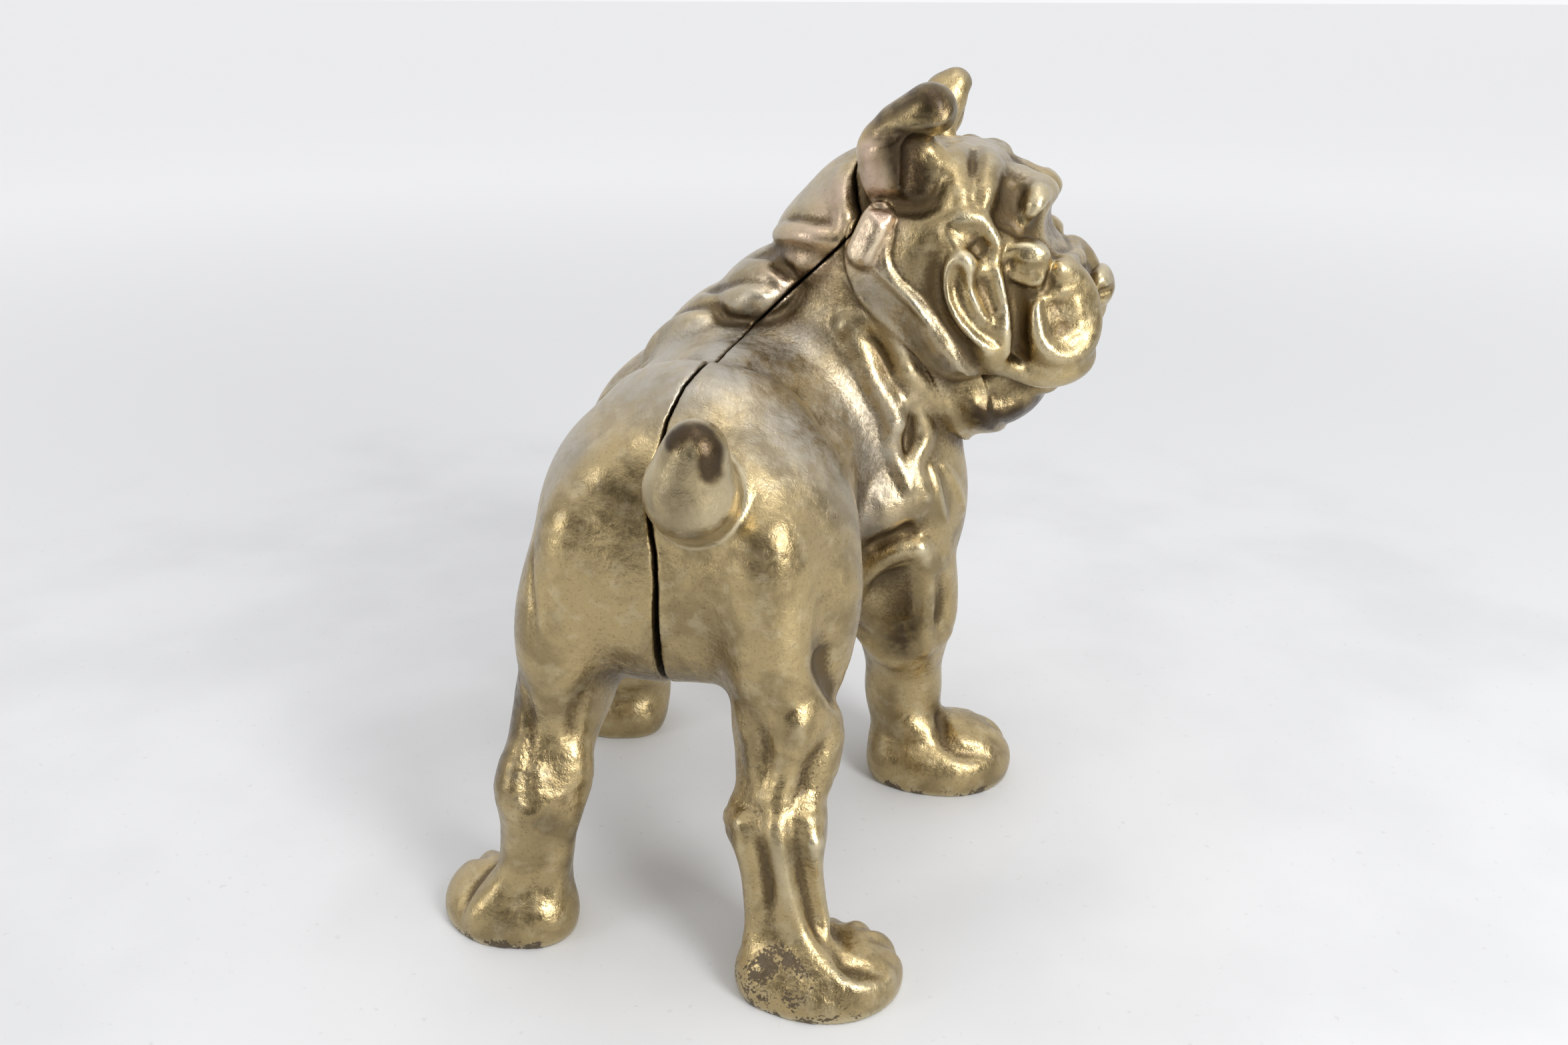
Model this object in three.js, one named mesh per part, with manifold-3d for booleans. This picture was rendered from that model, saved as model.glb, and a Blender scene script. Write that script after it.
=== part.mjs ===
// A bulldog doorstop: two hollow iron castings, parted along the dog's spine and
// drawn together by two slotted screws that run across its body.
// Millimetres, +Z up. The body runs along Y with its chest towards -Y, and the head
// is turned square to the dog's right, so that the face looks along -X.
import * as THREE from "three";
import { mergeVertices } from "three/addons/utils/BufferGeometryUtils.js";
import Module from "manifold-3d";

const wasm = await Module();
wasm.setup();

// ---- driving dimensions -------------------------------------------------------------
const WALL = 4.5; // thickness of the cast shell
const SEAM_GAP = 0.6; // daylight between the two castings
const HEAD_Y = -90; // the face is the same on both sides of this plane
const BODY_X = -3.5; // the haunches and shoulders are the same on both sides of this one
const BACK_HEIGHT = 128; // the parting line leaves the dog's middle plane at this height
const NAPE_SHIFT = -28; // how far the turned neck carries the parting line sideways
const NAPE_HEIGHT = 157; // height at which that shift is complete
const COARSE = 10; // facets round a small lump
const FINE = 16; // facets round a large lump
const ROD_FACETS = 24; // facets round a screw or a bore
const FAR = 200; // beyond every part of the dog

// The collar: a ring about the neck, leaning with it.
const COLLAR = {
  centre: [-40, HEAD_Y + 1, 133],
  radius: 21,
  thickness: 4.6,
  facets: 8,
  facetsRound: 26,
  widened: 1.2,
  lean: -62,
};

// The two screws: places along the body, and one screw size for both.
const SCREW = {
  places: [
    { name: "front_screw", y: -66, z: 104 },
    { name: "rear_screw", y: -26, z: 93 },
  ],
  seatX: 26, // the head bears here, inside the left flank
  tipX: -20,
  shankRadius: 2.2,
  headRadius: 4.4,
  headHeight: 2.8,
  slotWidth: 1.2,
  slotDepth: 1.3,
  slotTurn: 25,
  clearance: 0.3, // under the head
  headEdge: 0.8,
  pointLength: 1.5,
  pointTaper: 0.7,
};
const BORE_RADIUS = SCREW.shankRadius + 0.35;
const COUNTERBORE_RADIUS = SCREW.headRadius + 0.6;
const BOSS_RADIUS = 7;
const BOSS_REACH = 22; // how far the bosses run past the screws
const COUNTERBORE_DEPTH = 40; // out through the flank

// ---- solids from three.js geometry --------------------------------------------------
const giltIron = () =>
  new THREE.MeshStandardMaterial({ color: 0xa08a5a, roughness: 0.42, metalness: 1 });
const screwSteel = () =>
  new THREE.MeshStandardMaterial({ color: 0x77716a, roughness: 0.45, metalness: 1 });

// A closed geometry as a solid that can be joined and cut.
function solid(geometry) {
  const bare = geometry.index ? geometry.toNonIndexed() : geometry.clone();
  bare.deleteAttribute("normal");
  bare.deleteAttribute("uv");
  const merged = mergeVertices(bare, 1e-3);
  const corners = merged.index.array;
  const faces = [];
  for (let i = 0; i < corners.length; i += 3) {
    const [a, b, c] = corners.slice(i, i + 3);
    if (a !== b && b !== c && a !== c) faces.push(a, b, c);
  }
  return new wasm.Manifold(
    new wasm.Mesh({
      numProp: 3,
      vertProperties: merged.attributes.position.array,
      triVerts: new Uint32Array(faces),
    }),
  );
}

// A solid as a named mesh.
function meshOf(name, made, material) {
  const data = made.getMesh();
  const positions = new Float32Array(data.numVert * 3);
  for (let i = 0; i < data.numVert; i++) {
    positions.set(data.vertProperties.subarray(i * data.numProp, i * data.numProp + 3), i * 3);
  }
  const geometry = new THREE.BufferGeometry();
  geometry.setAttribute("position", new THREE.BufferAttribute(positions, 3));
  geometry.setIndex(new THREE.BufferAttribute(data.triVerts, 1));
  const mesh = new THREE.Mesh(geometry, material);
  mesh.name = name;
  return mesh;
}

const joined = (solids) => solids.reduce((sum, next) => sum.add(next));

// Lumps and limbs are what the dog is modelled from. A lump is an ellipsoid, turned
// about X, Y and Z in degrees. A limb is two balls and the cone that wraps them.
const lump = (centre, radii, turn = [0, 0, 0], facets = COARSE) => ({ centre, radii, turn, facets });
const limb = (from, fromRadius, to, toRadius) => ({ from, fromRadius, to, toRadius });

function lumpSolid({ centre, radii, turn, facets }, grow) {
  const geometry = new THREE.SphereGeometry(1, facets, Math.round(facets * 0.7));
  geometry.rotateX(Math.PI / 2);
  geometry.scale(...radii.map((radius) => radius + grow));
  const [x, y, z] = turn.map(THREE.MathUtils.degToRad);
  geometry.applyMatrix4(new THREE.Matrix4().makeRotationFromEuler(new THREE.Euler(x, y, z)));
  geometry.translate(...centre);
  return solid(geometry);
}

function limbSolid({ from, fromRadius, to, toRadius }, grow) {
  const start = new THREE.Vector3(...from);
  const axis = new THREE.Vector3(...to).sub(start);
  const length = axis.length();
  const startRadius = fromRadius + grow;
  const endRadius = toRadius + grow;
  const tangent = Math.asin((startRadius - endRadius) / length);
  const arcSteps = 4;
  const profile = [];
  for (let i = 0; i <= arcSteps; i++) {
    const angle = THREE.MathUtils.lerp(-Math.PI / 2, tangent, i / arcSteps);
    profile.push(new THREE.Vector2(startRadius * Math.cos(angle), startRadius * Math.sin(angle)));
  }
  for (let i = 0; i <= arcSteps; i++) {
    const angle = THREE.MathUtils.lerp(tangent, Math.PI / 2, i / arcSteps);
    profile.push(
      new THREE.Vector2(endRadius * Math.cos(angle), length + endRadius * Math.sin(angle)),
    );
  }
  profile[0].x = 0;
  profile[profile.length - 1].x = 0;
  const geometry = new THREE.LatheGeometry(profile, COARSE);
  const turn = new THREE.Quaternion().setFromUnitVectors(
    new THREE.Vector3(0, 1, 0),
    axis.normalize(),
  );
  geometry.applyQuaternion(turn);
  geometry.translate(...from);
  return solid(geometry);
}

const formSolid = (form, grow = 0) => (form.centre ? lumpSolid(form, grow) : limbSolid(form, grow));
const formsSolid = (forms, grow = 0) => joined(forms.map((form) => formSolid(form, grow)));

// A cylinder along X, from one x to another.
function crossRod(radius, fromX, toX, y, z) {
  const geometry = new THREE.CylinderGeometry(radius, radius, Math.abs(toX - fromX), ROD_FACETS);
  geometry.rotateZ(Math.PI / 2);
  geometry.translate((fromX + toX) / 2, y, z);
  return solid(geometry);
}

// A form on the other side of the middle plane of the body, and of the face.
const flipped = (point, axis, plane) =>
  point.map((value, i) => (i === axis ? 2 * plane - value : value));
function mirrored(form, axis, plane) {
  if (!form.centre) {
    return { ...form, from: flipped(form.from, axis, plane), to: flipped(form.to, axis, plane) };
  }
  const turn = form.turn.map((angle, i) => (i === axis ? angle : -angle));
  return { ...form, centre: flipped(form.centre, axis, plane), turn };
}
const mirrorPair = (forms, axis, plane) => [
  ...forms,
  ...forms.map((form) => mirrored(form, axis, plane)),
];

// ---- the dog's forms ----------------------------------------------------------------
// Hollow forms have a cavity inside them; solid forms are cast solid.
const torso = [
  lump([BODY_X, -26, 96], [28, 24, 31], [0, 0, 0], FINE),
  lump([0, -20, 79], [23, 18, 19.5]),
  lump([0, -54, 97], [33, 42, 32], [0, 0, 0], FINE),
  lump([BODY_X, -87, 84], [41, 30, 44], [0, 0, 0], FINE),
  ...mirrorPair(
    [
      lump([15, -23, 89], [18.5, 24, 29], [0, 0, 0], FINE),
      lump([27, -82, 84], [21.5, 22, 32], [0, 0, 0], FINE),
    ],
    0,
    BODY_X,
  ),
];

const neck = [
  limb([-2, -88, 98], 34, [-38, -89, 127], 23),
  lump([-35, -89, 147], [28, 24.5, 26], [0, 0, 0], FINE),
];

const skull = [lump([-50, HEAD_Y, 148], [26, 29, 27], [0, 0, 0], FINE)];

const napeRolls = [
  lump([-18, -87, 149], [15, 21, 13], [0, 40, 0]),
  lump([-3, -86, 136.5], [16, 22, 9.5], [0, 30, 0]),
  lump([12.5, -84, 126.5], [14, 21, 8], [0, 40, 0]),
];
const withers = lump([4, -82, 121], [22, 24, 11]);

const face = [
  lump([-66, HEAD_Y, 134], [17, 19, 20]),
  lump([-59, HEAD_Y, 114], [15, 18, 11], [0, 15, 0]),
  lump([-84, HEAD_Y, 139], [3.5, 6.5, 4.5]),
  ...mirrorPair(
    [
      lump([-65.5, HEAD_Y + 9, 158], [7.5, 8, 6.5], [0, 35, 0]),
      lump([-72, HEAD_Y + 12, 133], [12, 11, 18], [0, 10, 0]),
      lump([-54, HEAD_Y + 21, 136], [12, 10, 16], [0, 20, 0]),
      lump([-68, HEAD_Y + 18, 148], [5, 5, 5]),
    ],
    1,
    HEAD_Y,
  ),
];

// The stop, between the brow and the muzzle, is a groove across the face.
const stop = limb([-78.5, HEAD_Y - 18, 156.5], 5.6, [-78.5, HEAD_Y + 18, 156.5], 5.6);

// The right ear is cupped and its top folds forward; the left ear stands up.
const ears = [
  limb([-34, HEAD_Y + 20, 163], 4.2, [-33.4, HEAD_Y + 20.5, 172], 5.6),
  limb([-35, HEAD_Y + 20.5, 173], 6, [-44.4, HEAD_Y + 21, 181.3], 5.9),
  limb([-38, HEAD_Y - 21, 163], 8, [-41.5, HEAD_Y - 22, 181], 6.2),
  limb([-41.5, HEAD_Y - 22, 180], 5.6, [-43.5, HEAD_Y - 22, 184], 4.2),
];
const earHollows = [
  limb([-42.5, HEAD_Y + 28, 164.5], 4.2, [-43.5, HEAD_Y + 28, 173], 4),
  limb([-47, HEAD_Y - 23, 166], 3.5, [-48, HEAD_Y - 23, 180], 3.2),
];

// One hind leg and one foreleg on the dog's left.
const hindLeg = (lead, out) => [
  lump([25, -14, 70], [11.5, 17, 25], [-8, 0, 0]),
  limb([26.5, -8, 54], 10.5, [28.5, 1, 36], 9.3),
  limb([28.5, 1, 36], 9.3, [31, 3 + lead / 2, 14], 8.4),
  lump([41 + out, 3 + lead, 2], [16, 14.5, 9.5], [0, 0, -35]),
  limb([35, 8 + lead, 4], 9.5, [30 + out / 2, 8 + lead, 4], 9.5),
];
const foreLeg = (lead) => [
  lump([40, -84, 56], [13, 16, 22]),
  limb([40, -86, 45], 12, [40, -88, 24], 9.4),
  limb([40, -88, 24], 9.4, [41, -87 + lead, 12], 9.4),
  lump([54, -88 + lead, 4], [17.5, 15.5, 13], [0, 0, -35]),
  limb([44, -82 + lead, 5], 10, [41, -82 + lead, 5], 9.5),
];
const legs = [
  ...hindLeg(-2.5, -1),
  ...foreLeg(-5),
  ...[...hindLeg(2.5, 1), ...foreLeg(0)].map((form) => mirrored(form, 0, 0)),
];

const tail = [
  limb([-8.8, -9, 107], 11.2, [-11.5, 6, 114], 9.6),
  limb([-11.5, 6, 115], 9.4, [-13.5, 8, 123.5], 6.6),
];

// A leather collar, cast on as a raised band about the neck.
function collar() {
  const band = new THREE.TorusGeometry(
    COLLAR.radius,
    COLLAR.thickness,
    COLLAR.facets,
    COLLAR.facetsRound,
  );
  band.scale(COLLAR.widened, 1, 1);
  band.rotateY(THREE.MathUtils.degToRad(COLLAR.lean));
  band.translate(...COLLAR.centre);
  return solid(band);
}

// ---- the parting --------------------------------------------------------------------
// Everything on the dog's left of the parting surface, less half the seam gap.
// The surface is the middle plane up to the back, and leans over with the neck.
function leftOfParting() {
  const edge = SEAM_GAP / 2;
  const outline = new THREE.Shape([
    new THREE.Vector2(edge, -FAR),
    new THREE.Vector2(FAR, -FAR),
    new THREE.Vector2(FAR, FAR),
    new THREE.Vector2(NAPE_SHIFT + edge, FAR),
    new THREE.Vector2(NAPE_SHIFT + edge, NAPE_HEIGHT),
    new THREE.Vector2(edge, BACK_HEIGHT),
  ]);
  const geometry = new THREE.ExtrudeGeometry(outline, { depth: 2 * FAR, bevelEnabled: false });
  geometry.rotateX(Math.PI / 2);
  geometry.translate(0, FAR, 0);
  return solid(geometry);
}

function rightOfParting() {
  const everything = new THREE.BoxGeometry(2 * FAR, 2 * FAR, 2 * FAR);
  return solid(everything).subtract(leftOfParting().translate([-SEAM_GAP, 0, 0]));
}

function belowFloor() {
  const block = new THREE.BoxGeometry(2 * FAR, 2 * FAR, FAR);
  block.translate(0, 0, -FAR / 2);
  return solid(block);
}

// ---- the castings -------------------------------------------------------------------
const outside = joined([
  formsSolid([...torso, ...neck, ...skull, ...napeRolls, withers, ...legs]),
  formsSolid(face).subtract(formSolid(stop)),
  formsSolid(ears).subtract(formsSolid(earHollows)),
  collar(),
]).subtract(belowFloor());
const cavity = formsSolid([...torso, ...neck, ...skull], -WALL);

// The bosses the screws pass through, as far as the outside allows.
const bosses = joined(
  SCREW.places.map(({ y, z }) =>
    crossRod(BOSS_RADIUS, SCREW.tipX - BOSS_REACH, SCREW.seatX + BOSS_REACH, y, z),
  ),
).intersect(outside);
const bores = joined(
  SCREW.places.flatMap(({ y, z }) => [
    crossRod(BORE_RADIUS, SCREW.tipX - 1, SCREW.seatX + 1, y, z),
    crossRod(COUNTERBORE_RADIUS, SCREW.seatX, SCREW.seatX + COUNTERBORE_DEPTH, y, z),
  ]),
);
const shell = outside.subtract(cavity).add(bosses).subtract(bores);

const leftCasting = shell.intersect(leftOfParting()).subtract(formsSolid(tail, SEAM_GAP));
const rightCasting = shell.intersect(rightOfParting()).add(formsSolid(tail).subtract(cavity));

// ---- the screws ---------------------------------------------------------------------
function slottedScrew({ y, z }) {
  const seat = SCREW.seatX + SCREW.clearance;
  const top = seat + SCREW.headHeight;
  const profile = [
    [0, SCREW.tipX],
    [SCREW.shankRadius - SCREW.pointTaper, SCREW.tipX],
    [SCREW.shankRadius, SCREW.tipX + SCREW.pointLength],
    [SCREW.shankRadius, seat],
    [SCREW.headRadius, seat],
    [SCREW.headRadius, top - SCREW.headEdge],
    [SCREW.headRadius - SCREW.headEdge, top],
    [0, top],
  ].map(([radius, x]) => new THREE.Vector2(radius, x));
  const body = new THREE.LatheGeometry(profile, ROD_FACETS);
  body.rotateZ(-Math.PI / 2);
  body.translate(0, y, z);
  const slot = new THREE.BoxGeometry(
    2 * SCREW.slotDepth,
    3 * SCREW.headRadius,
    SCREW.slotWidth,
  );
  slot.rotateX(THREE.MathUtils.degToRad(SCREW.slotTurn));
  slot.translate(top, y, z);
  return solid(body).subtract(solid(slot));
}

// ---- the assembly -------------------------------------------------------------------
const dog = new THREE.Group();
dog.add(meshOf("left_casting", leftCasting, giltIron()));
dog.add(meshOf("right_casting", rightCasting, giltIron()));
for (const place of SCREW.places) dog.add(meshOf(place.name, slottedScrew(place), screwSteel()));

// The origin is on the floor, in the middle of the dog's overall box.
const bounds = new THREE.Box3().setFromObject(dog);
const middle = bounds.getCenter(new THREE.Vector3());
dog.position.set(-middle.x, -middle.y, -bounds.min.z);

export default dog;
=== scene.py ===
"""The looks of a cast bulldog: two sculpted castings, two slotted screws, a floor, lights and a camera.

The dog is modelled like clay. A block of signed distances holds the figure: balls and limbs are
blended into it, folds are drawn on its surface, and then it is parted, hollowed, and turned into one
mesh for each casting. Shapes are in millimetres in the dog's own frame: the floor is z = 0, the chest
points along -y, +x is the dog's left, and the face looks along -x.
"""

import math

import bpy
import numpy as np
import openvdb
from mathutils import Matrix, Vector


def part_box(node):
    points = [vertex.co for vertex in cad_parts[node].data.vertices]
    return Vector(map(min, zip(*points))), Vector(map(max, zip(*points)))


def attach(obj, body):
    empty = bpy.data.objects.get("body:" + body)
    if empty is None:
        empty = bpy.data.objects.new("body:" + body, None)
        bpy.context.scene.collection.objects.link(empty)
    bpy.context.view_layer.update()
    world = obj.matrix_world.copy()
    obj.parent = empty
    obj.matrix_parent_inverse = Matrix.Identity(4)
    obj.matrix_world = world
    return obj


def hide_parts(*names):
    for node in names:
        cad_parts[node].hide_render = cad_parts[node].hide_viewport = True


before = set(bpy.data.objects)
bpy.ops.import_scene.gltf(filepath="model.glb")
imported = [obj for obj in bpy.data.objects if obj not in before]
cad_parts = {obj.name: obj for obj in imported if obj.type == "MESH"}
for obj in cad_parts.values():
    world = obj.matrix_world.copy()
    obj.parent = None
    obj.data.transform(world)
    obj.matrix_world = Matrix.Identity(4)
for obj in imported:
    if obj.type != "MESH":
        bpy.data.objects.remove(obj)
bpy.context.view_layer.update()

# ---- driving dimensions, as in the design ----
WALL = 4.5  # thickness of the cast shell
HEAD_Y = -90.0  # the face is the same on both sides of this plane
BODY_X = -3.5  # the haunches and shoulders are the same on both sides of this one
THINNEST_WALL = 2.5  # the cavity stays this far under every groove
SCREWS = {"front_screw": (-66.0, 104.0), "rear_screw": (-26.0, 93.0)}  # y and z of each
SCREW_SEAT = 26.0  # the screws' heads bear at this x
SCREW_TIP = -20.0
BORE_RADIUS = 2.55  # 0.35 mm clear of the shank
COUNTERBORE_RADIUS = 5.0  # 0.6 mm clear of the head
BOSS_RADIUS = 7.0

BLOCK = ((-96, -129, -4), (80, 28, 196))  # the corners of the block of clay
STEP = 0.6  # the clay's grain
FAR = 14.0  # distances beyond this are all alike
REACH = 5.0  # how far outside a form its distances are kept, or further where the blend is softer

SETTLING_STEPS = 8  # a path moves onto the surface in this many steps,
SETTLING_PACE = 0.8  # each this share of the way,
TRAIL_SMOOTHING = 8  # and is then smoothed this many times;
SLOPE_SMOOTHING = 3  # the slopes along it are smoothed this many times
GROOVE_REACH = 2.3  # a groove ends, and
SPOT_REACH = 2.5  # a spot of the finish ends, this many widths from its path

# The dog's own frame lies in the part's frame as the front screw does.
_low, _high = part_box("front_screw")
SHIFT = np.array(
    [
        _low.x * 1000 - SCREW_TIP,
        (_low.y + _high.y) * 500 - SCREWS["front_screw"][0],
        (_low.z + _high.z) * 500 - SCREWS["front_screw"][1],
    ]
)


def place(point):
    """A point of the dog's own frame, in metres in the part's frame."""
    return Vector((np.asarray(point, float) + SHIFT) / 1000)


# ---- forms ----
def flip(points, axis, plane):
    """A point, or each of several, mirrored across a plane."""
    flipped = np.array(points, float)
    flipped[..., axis] = 2 * plane - flipped[..., axis]
    return flipped


def turn_matrix(turn):
    """The matrix of a turn about z, then y, then x, in degrees."""
    x, y, z = (Matrix.Rotation(math.radians(angle), 3, axis) for angle, axis in zip(turn, "XYZ"))
    return np.array(x @ y @ z)


class Ball:
    """An ellipsoid; its distances are true on its surface and close near it."""

    def __init__(self, centre, radii, turn=(0, 0, 0)):
        self.centre = np.array(centre, float)
        self.radii = np.array(radii, float)
        self.turn = turn
        self.axes = turn_matrix(turn)
        half = np.sqrt(((self.axes * self.radii) ** 2).sum(axis=1))
        self.low = self.centre - half
        self.high = self.centre + half

    def distance(self, x, y, z):
        away = (x - self.centre[0], y - self.centre[1], z - self.centre[2])
        once = 0
        twice = 0
        for i, radius in enumerate(self.radii):
            along = sum(float(self.axes[j, i]) * away[j] for j in range(3))
            once = once + (along / radius) ** 2
            twice = twice + (along / radius**2) ** 2
        once = np.sqrt(once)
        return once * (once - 1) / np.maximum(np.sqrt(twice), 1e-6)

    def grown(self, extra):
        return Ball(self.centre, self.radii + extra, self.turn)

    def flipped(self, axis, plane):
        turn = [angle if i == axis else -angle for i, angle in enumerate(self.turn)]
        return Ball(flip(self.centre, axis, plane), self.radii, turn)


class Limb:
    """Two balls and the cone that wraps them; its distances are true everywhere."""

    def __init__(self, start, start_radius, end, end_radius):
        self.start = np.array(start, float)
        self.end = np.array(end, float)
        self.radii = (float(start_radius), float(end_radius))
        reach = np.array(self.radii)[:, None]
        ends = np.array([self.start, self.end])
        self.low = (ends - reach).min(axis=0)
        self.high = (ends + reach).max(axis=0)

    def distance(self, x, y, z):
        axis = self.end - self.start
        length2 = float(axis @ axis)
        first, last = self.radii
        slope = first - last
        flank = length2 - slope * slope
        away = (x - self.start[0], y - self.start[1], z - self.start[2])
        along = sum(float(axis[j]) * away[j] for j in range(3))
        beyond = along - length2
        across = sum((away[j] * length2 - float(axis[j]) * along) ** 2 for j in range(3))
        before2 = along * along * length2
        beyond2 = beyond * beyond * length2
        edge = np.sign(slope) * slope * slope * across
        side = (np.sqrt(across * flank / length2) + along * slope) / length2 - first
        near_end = np.sqrt(across + beyond2) / length2 - last
        near_start = np.sqrt(across + before2) / length2 - first
        result = np.where(np.sign(along) * flank * before2 < edge, near_start, side)
        return np.where(np.sign(beyond) * flank * beyond2 > edge, near_end, result)

    def grown(self, extra):
        return Limb(self.start, self.radii[0] + extra, self.end, self.radii[1] + extra)

    def flipped(self, axis, plane):
        start, end = flip([self.start, self.end], axis, plane)
        return Limb(start, self.radii[0], end, self.radii[1])


def mirror_pair(forms, axis, plane):
    """The forms and their mirror images across a plane."""
    return [*forms, *(form.flipped(axis, plane) for form in forms)]


# ---- clay ----
def blend_out(a, b, soft):
    """The smaller of two distances, rounded where they are close: it joins two forms."""
    mix = np.maximum(soft - np.abs(a - b), 0) / soft
    return np.minimum(a, b) - mix * mix * (soft / 4)


def blend_in(a, b, soft):
    """The larger of two distances, rounded where they are close: it cuts one form by another."""
    return -blend_out(-a, -b, soft)


def smooth_path(points, spacing):
    """Points at an even spacing along a Catmull-Rom curve through the given ones."""
    given = np.array(points, float)
    before = 2 * given[0] - given[1]
    after = 2 * given[-1] - given[-2]
    knots = np.vstack([before, given, after])
    path = []
    for i in range(1, len(knots) - 2):
        a, b, c, d = knots[i - 1 : i + 3]
        steps = max(1, int(np.ceil(np.linalg.norm(c - b) / spacing)))
        for t in np.arange(steps) / steps:
            curve = 2 * b + (c - a) * t + (2 * a - 5 * b + 4 * c - d) * t**2
            path.append((curve + (3 * b - a - 3 * c + d) * t**3) / 2)
    path.append(given[-1])
    return np.array(path)


def tapered(along, least):
    """A share that rises from both ends of a path to 1 a quarter of the way along it."""
    rise = np.minimum(1, 4 * np.minimum(along, 1 - along))
    return np.sin((least + (1 - least) * rise) * math.pi / 2)


class Clay:
    """A block of signed distances, negative inside, that forms are pressed into."""

    def __init__(self, low=BLOCK[0], high=BLOCK[1], step=STEP):
        self.low = np.array(low, float)
        self.step = step
        counts = np.ceil((np.array(high) - self.low) / step).astype(int) + 1
        self.value = np.full(counts, FAR, np.float32)

    def window(self, low, high):
        """The cells between two corners, and their coordinates."""
        first = np.floor((np.asarray(low) - self.low) / self.step).astype(int)
        last = np.ceil((np.asarray(high) - self.low) / self.step).astype(int) + 1
        first = np.clip(first, 0, self.value.shape)
        last = np.clip(last, 0, self.value.shape)
        cells = tuple(slice(a, b) for a, b in zip(first, last))
        lines = [self.low[i] + self.step * np.arange(first[i], last[i]) for i in range(3)]
        x, y, z = (line.astype(np.float32) for line in lines)
        return cells, x[:, None, None], y[None, :, None], z[None, None, :]

    def coordinates(self):
        """The coordinates of all the cells."""
        return self.window(*BLOCK)[1:]

    def near(self, form, soft):
        """The cells that a form's blend can reach, and its distances there."""
        reach = max(REACH, soft)
        cells, *where = self.window(form.low - reach, form.high + reach)
        return cells, form.distance(*where)

    def add(self, form, soft):
        """Blends a form in; the softness is the width of the blend."""
        cells, distance = self.near(form, soft)
        self.value[cells] = blend_out(self.value[cells], distance, soft)

    def carve(self, form, soft):
        cells, distance = self.near(form, soft)
        self.value[cells] = blend_in(self.value[cells], -distance, soft)

    def add_all(self, forms, soft):
        for form in forms:
            self.add(form, soft)

    def sample(self, points):
        """The distances at points anywhere in the block."""
        at = np.clip((points - self.low) / self.step, 0, np.array(self.value.shape) - 1.001)
        first = at.astype(int)
        share = at - first
        total = 0
        for corner in np.ndindex(2, 2, 2):
            weight = np.prod(np.where(corner, share, 1 - share), axis=1)
            total = total + weight * self.value[tuple((first + corner).T)]
        return total

    def slope(self, points):
        """The direction in which the distance grows at each point."""
        sides = np.eye(3) * self.step
        rise = [self.sample(points + side) - self.sample(points - side) for side in sides]
        return np.stack(rise, axis=1) / (2 * self.step)

    def settle(self, points):
        """The points moved onto the nearest surface."""
        points = np.array(points, float)
        for _ in range(SETTLING_STEPS):
            slope = self.slope(points)
            steepness = np.maximum((slope**2).sum(axis=1), 0.05)
            points -= (self.sample(points) / steepness)[:, None] * slope * SETTLING_PACE
        return points

    def trail(self, points, spacing):
        """A smooth path through the points that lies on the surface."""
        path = self.settle(smooth_path(points, spacing))
        for _ in range(TRAIL_SMOOTHING):
            path[1:-1] = (path[:-2] + 2 * path[1:-1] + path[2:]) / 4
        return path

    def around(self, path, reach):
        """The cells within reach of a path, their squared distance to it, and where along it."""
        cells, x, y, z = self.window(path.min(axis=0) - reach, path.max(axis=0) + reach)
        nearest = np.full(self.value[cells].shape, 4 * reach * reach, np.float32)
        along = np.zeros(nearest.shape, np.float32)
        corner = self.low + self.step * np.array([cell.start for cell in cells])
        for i, (start, end) in enumerate(zip(path, path[1:])):
            first = np.floor((np.minimum(start, end) - reach - corner) / self.step).astype(int)
            last = np.ceil((np.maximum(start, end) + reach - corner) / self.step).astype(int) + 1
            near = tuple(slice(max(a, 0), max(b, 0)) for a, b in zip(first, last))
            lines = (x[near[0]], y[:, near[1]], z[:, :, near[2]])
            run = (end - start).astype(np.float32)
            length2 = max(float(run @ run), 1e-6)
            away = [line - start[j] for j, line in enumerate(lines)]
            share = np.clip(sum(away[j] * run[j] for j in range(3)) / length2, 0, 1)
            away2 = sum((away[j] - share * run[j]) ** 2 for j in range(3))
            closer = away2 < nearest[near]
            nearest[near] = np.where(closer, away2, nearest[near])
            along[near] = np.where(closer, (i + share) / (len(path) - 1), along[near])
        return cells, nearest, along

    def hollow(self, points, width, depth):
        """Sinks a soft groove along a path on the surface."""
        path = self.trail(points, 0.6 * width)
        cells, nearest, along = self.around(path, GROOVE_REACH * width)
        self.value[cells] += depth * tapered(along, 0.25) * np.exp(-nearest / width**2)

    def roll(self, points, radius, height, soft):
        """Lays a roll of clay along a path on the surface, standing up by the given height."""
        path = self.trail(points, 0.8 * radius)
        slope = self.slope(path)
        for _ in range(SLOPE_SMOOTHING):
            slope[1:-1] = (slope[:-2] + slope[1:-1] + slope[2:]) / 3
        slope /= np.maximum(np.linalg.norm(slope, axis=1), 0.2)[:, None]
        path = path - slope * (radius - height)
        cells, nearest, along = self.around(path, radius + soft)
        thickness = radius - height * (1 - tapered(along, 0.3))
        self.value[cells] = blend_out(self.value[cells], np.sqrt(nearest) - thickness, soft)

    def fold(self, points, width, height, softness=1.1):
        """A roll of clay if the height is positive, a soft groove if it is negative."""
        if height > 0:
            self.roll(points, width, height, softness * width)
        else:
            self.hollow(points, width, -height)

    def band(self, points, half_width, height, edge):
        """Raises a flat-topped band along a path on the surface."""
        path = self.trail(points, 0.5 * half_width)
        cells, nearest, along = self.around(path, half_width + edge)
        inside = np.clip((half_width + edge - np.sqrt(nearest)) / edge, 0, 1)
        self.value[cells] -= height * inside * inside * (3 - 2 * inside)

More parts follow.
